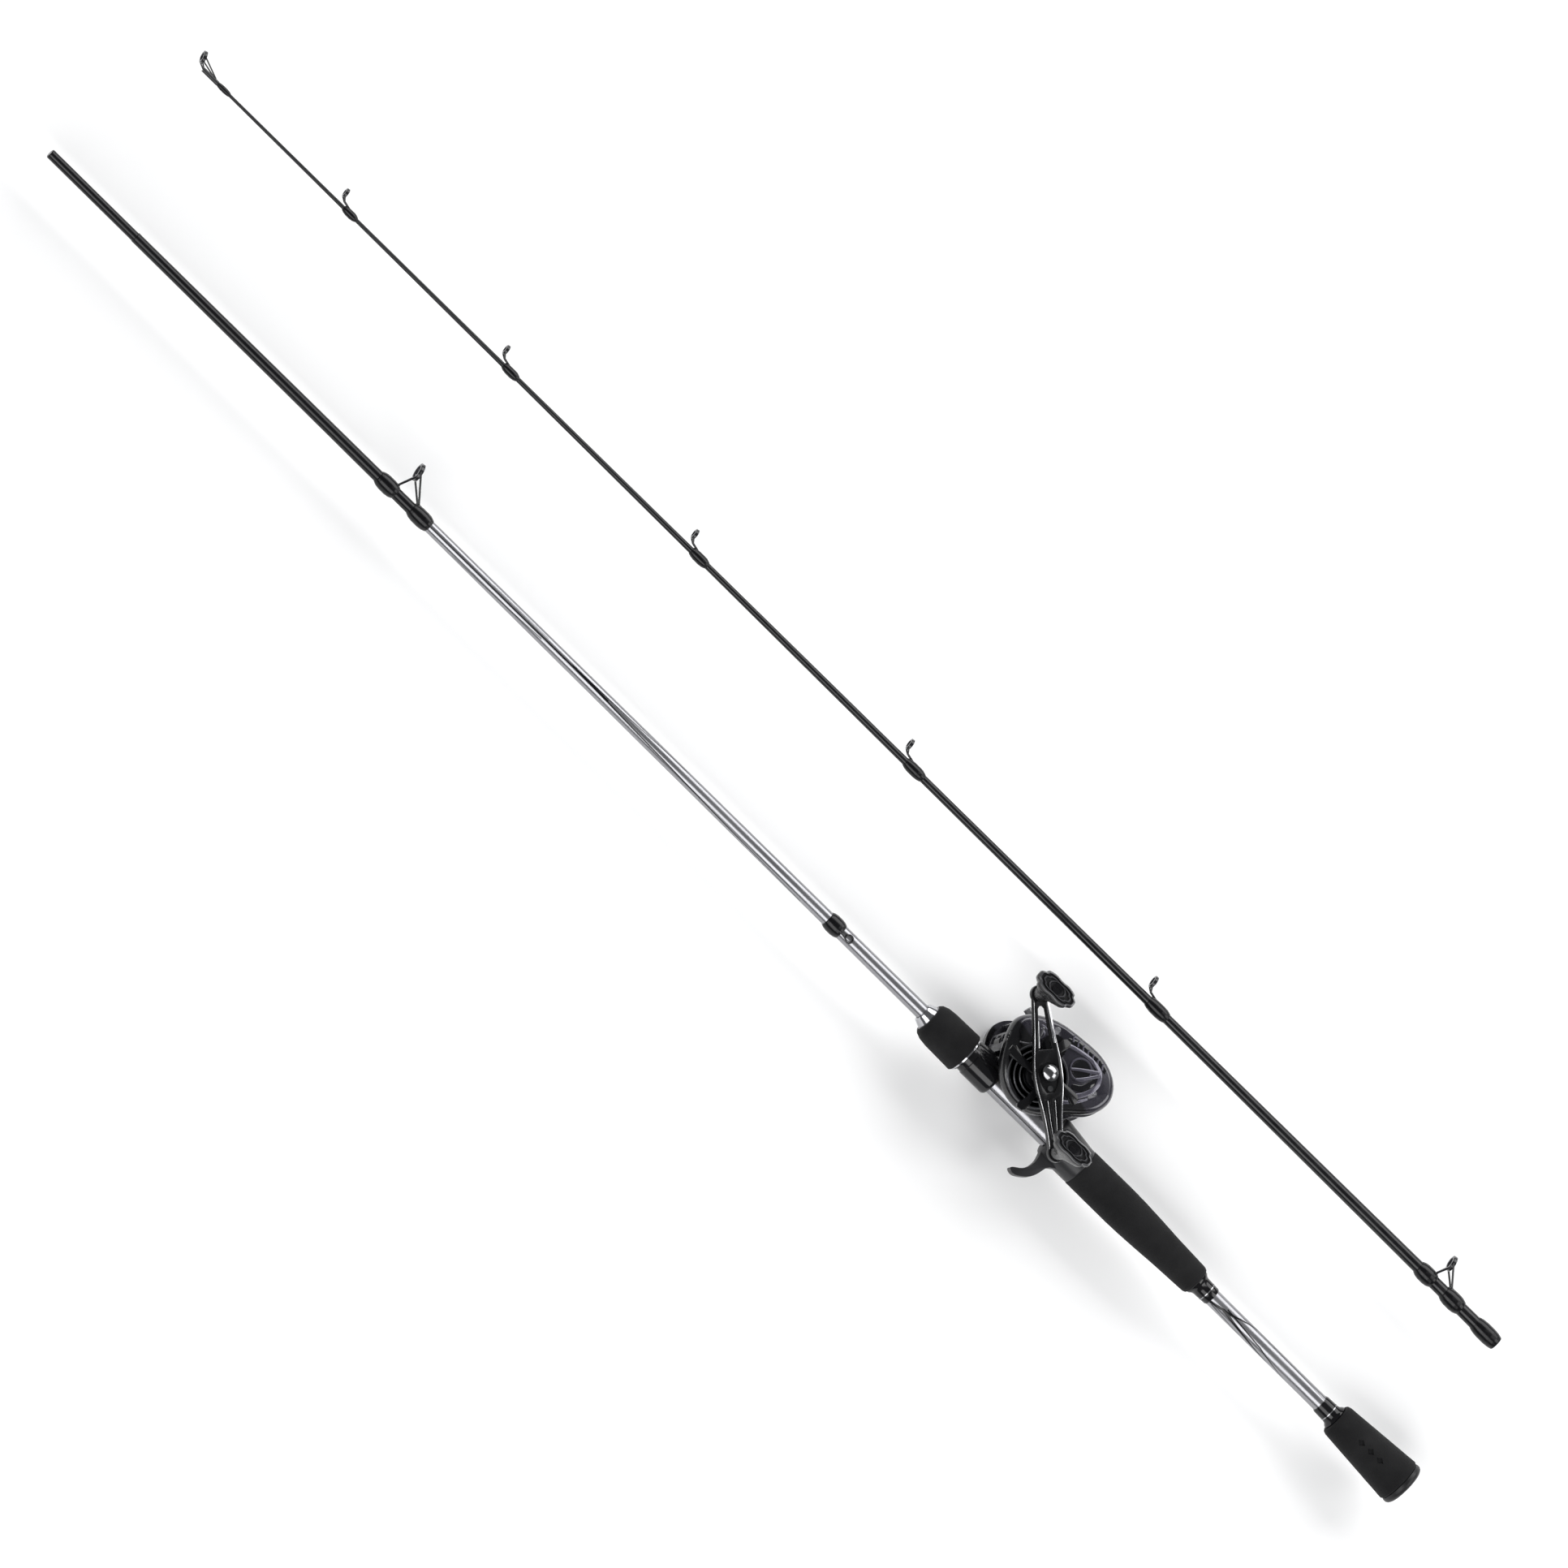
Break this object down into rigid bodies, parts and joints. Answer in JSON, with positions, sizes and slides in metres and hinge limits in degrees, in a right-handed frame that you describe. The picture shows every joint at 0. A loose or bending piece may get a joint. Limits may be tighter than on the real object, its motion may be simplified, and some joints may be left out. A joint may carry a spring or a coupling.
{
  "type": "fishing rod and reel",
  "caption": "Two-piece casting rod, its tip section lying alongside, with ringed line guides, foam grips, a trigger seat and a low-profile baitcasting reel with a double-knob crank.",
  "frame": {"origin": "axis of the butt section at the middle of the rear grip, where the hand holds it", "axes": "+X along the rod towards the butt end, +Y from the rod towards the reel and the guides, +Z towards the crank handle"},
  "size_m": [1.124, 0.1556, 0.0981],
  "materials": {
    "blank_paint": "gloss silver and black lacquer over the tapered carbon and glass blank",
    "black_blank": "gloss black lacquer",
    "eva_foam": "matte black foam",
    "cap_rubber": "dark rubber",
    "gloss_black": "gloss black trim",
    "seat_plastic": "satin dark grey",
    "sleeve_silver": "bright silver lacquer",
    "wire_black": "gloss black coated wire",
    "wrap_black": "black thread under clear varnish",
    "ceramic": "polished dark ceramic",
    "chrome": "polished",
    "reel_paint": "dark violet-grey metallic paint",
    "reel_grey": "grey moulded, satin",
    "reel_black": "gloss black",
    "foot_metal": "dark anodised",
    "spool_metal": "anodised, turned",
    "steel": "ground",
    "brass": "cut",
    "arm_metal": "black anodised with bright bevels",
    "knob_rubber": "charcoal, soft matte",
    "washer_fibre": "drag fibre"
  },
  "bodies": {
    "butt_section": {"butt_blank": "blank_paint", "butt_cap": "cap_rubber", "butt_grip": "eva_foam", "butt_grip_check": "gloss_black", "rear_grip": "eva_foam", "rear_grip_check": "gloss_black", "reel_seat": "seat_plastic", "seat_sleeve": "sleeve_silver", "hook_keeper": "wire_black", "butt_wraps": "wrap_black", "stripper_frame": "wire_black", "stripper_ring": "ceramic", "reel_foot": "foot_metal", "reel_frame": "reel_grey", "handle_side_cover": "reel_paint", "palm_side_cover": "reel_paint", "nose_cover": "reel_grey", "nose_knob": "steel", "reel_screws": "steel", "bearings": "steel", "clutch_yoke": "brass", "clutch_springs": "steel", "brake_magnets": "steel", "guide_rod": "steel"},
    "moving_hood": {"front_hood": "gloss_black"},
    "seat_nut": {"hood_nut": "gloss_black", "nut_ring": "chrome", "fore_grip": "eva_foam", "fore_grip_collar": "chrome"},
    "crank": {"drive_shaft": "steel", "main_gear": "brass", "drag_washers": "washer_fibre", "wind_drive_gear": "brass", "handle_arm": "arm_metal", "handle_nut": "chrome", "nut_retainer": "steel", "knob_posts": "steel"},
    "star": {"star_drag": "reel_black"},
    "upper_knob": {"knob_a": "knob_rubber", "knob_cap_a": "reel_black"},
    "lower_knob": {"knob_b": "knob_rubber", "knob_cap_b": "reel_black"},
    "spool_assembly": {"spool": "spool_metal", "spool_shaft": "steel", "brake_rotor": "spool_metal", "pinion_gear": "brass"},
    "idler": {"wind_idler": "brass"},
    "worm": {"worm_shaft": "steel", "worm_gear": "brass"},
    "guide_carrier": {"line_guide": "reel_black", "line_guide_insert": "ceramic"},
    "tension_knob": {"tension_cap": "reel_black"},
    "brake_knob": {"brake_dial": "reel_black"},
    "thumb_lever": {"thumb_bar": "reel_black"},
    "tip_section": {"tip_blank": "black_blank", "ferrule_wrap": "wrap_black", "guide_2_frame": "wire_black", "guide_rings": "ceramic", "guide_wraps": "wrap_black", "running_frames": "wire_black"}
  },
  "joints": [
    {"name": "seat_hood_slide", "type": "slide", "parent": "butt_section", "child": "moving_hood", "axis": [-1, 0, 0], "range_m": [0, 0.012]},
    {"name": "seat_nut_turn", "type": "hinge", "parent": "moving_hood", "child": "seat_nut", "pos_m": [-0.159, 0, 0], "axis": [-1, 0, 0], "range_deg": [0, 2160]},
    {"name": "crank_spin", "type": "hinge", "parent": "butt_section", "child": "crank", "pos_m": [-0.107, 0.0135, 0], "axis": [0, 0, 1], "continuous": true},
    {"name": "star_drag_turn", "type": "hinge", "parent": "crank", "child": "star", "pos_m": [-0.107, 0.0135, 0.032], "axis": [0, 0, 1], "range_deg": [0, 300]},
    {"name": "upper_knob_spin", "type": "hinge", "parent": "crank", "child": "upper_knob", "pos_m": [-0.14163, 0.04468, 0.055], "axis": [0, 0, 1], "continuous": true},
    {"name": "lower_knob_spin", "type": "hinge", "parent": "crank", "child": "lower_knob", "pos_m": [-0.07237, -0.01768, 0.055], "axis": [0, 0, 1], "continuous": true},
    {"name": "spool_spin", "type": "hinge", "parent": "butt_section", "child": "spool_assembly", "pos_m": [-0.1125, 0.03116, 0], "axis": [0, 0, 1], "continuous": true},
    {"name": "idler_spin", "type": "hinge", "parent": "butt_section", "child": "idler", "pos_m": [-0.12276, 0.01628, 0.0213], "axis": [0, 0, 1], "continuous": true},
    {"name": "worm_spin", "type": "hinge", "parent": "butt_section", "child": "worm", "pos_m": [-0.131, 0.021, 0], "axis": [0, 0, 1], "continuous": true},
    {"name": "line_guide_slide", "type": "slide", "parent": "butt_section", "child": "guide_carrier", "axis": [0, 0, 1], "range_m": [-0.0085, 0.0085]},
    {"name": "tension_cap_turn", "type": "hinge", "parent": "butt_section", "child": "tension_knob", "pos_m": [-0.1125, 0.03116, 0.028], "axis": [0, 0, 1], "range_deg": [0, 360]},
    {"name": "brake_dial_turn", "type": "hinge", "parent": "butt_section", "child": "brake_knob", "pos_m": [-0.1125, 0.03116, -0.0275], "axis": [0, 0, 1], "range_deg": [0, 300]},
    {"name": "thumb_bar_press", "type": "slide", "parent": "butt_section", "child": "thumb_lever", "axis": [0, -1, 0], "range_m": [0, 0.004]},
    {"name": "tip_section_carry", "type": "slide", "parent": "butt_section", "child": "tip_section", "axis": [-1, 0, 0], "range_m": [0, 1.0396]}
  ],
  "couplings": [
    {"joint": "seat_hood_slide", "follows": "seat_nut_turn", "m_per_rad": 0.0003183},
    {"joint": "spool_spin", "follows": "crank_spin", "ratio": -6.4},
    {"joint": "idler_spin", "follows": "crank_spin", "ratio": -2.2},
    {"joint": "worm_spin", "follows": "crank_spin", "ratio": 2.4444}
  ]
}
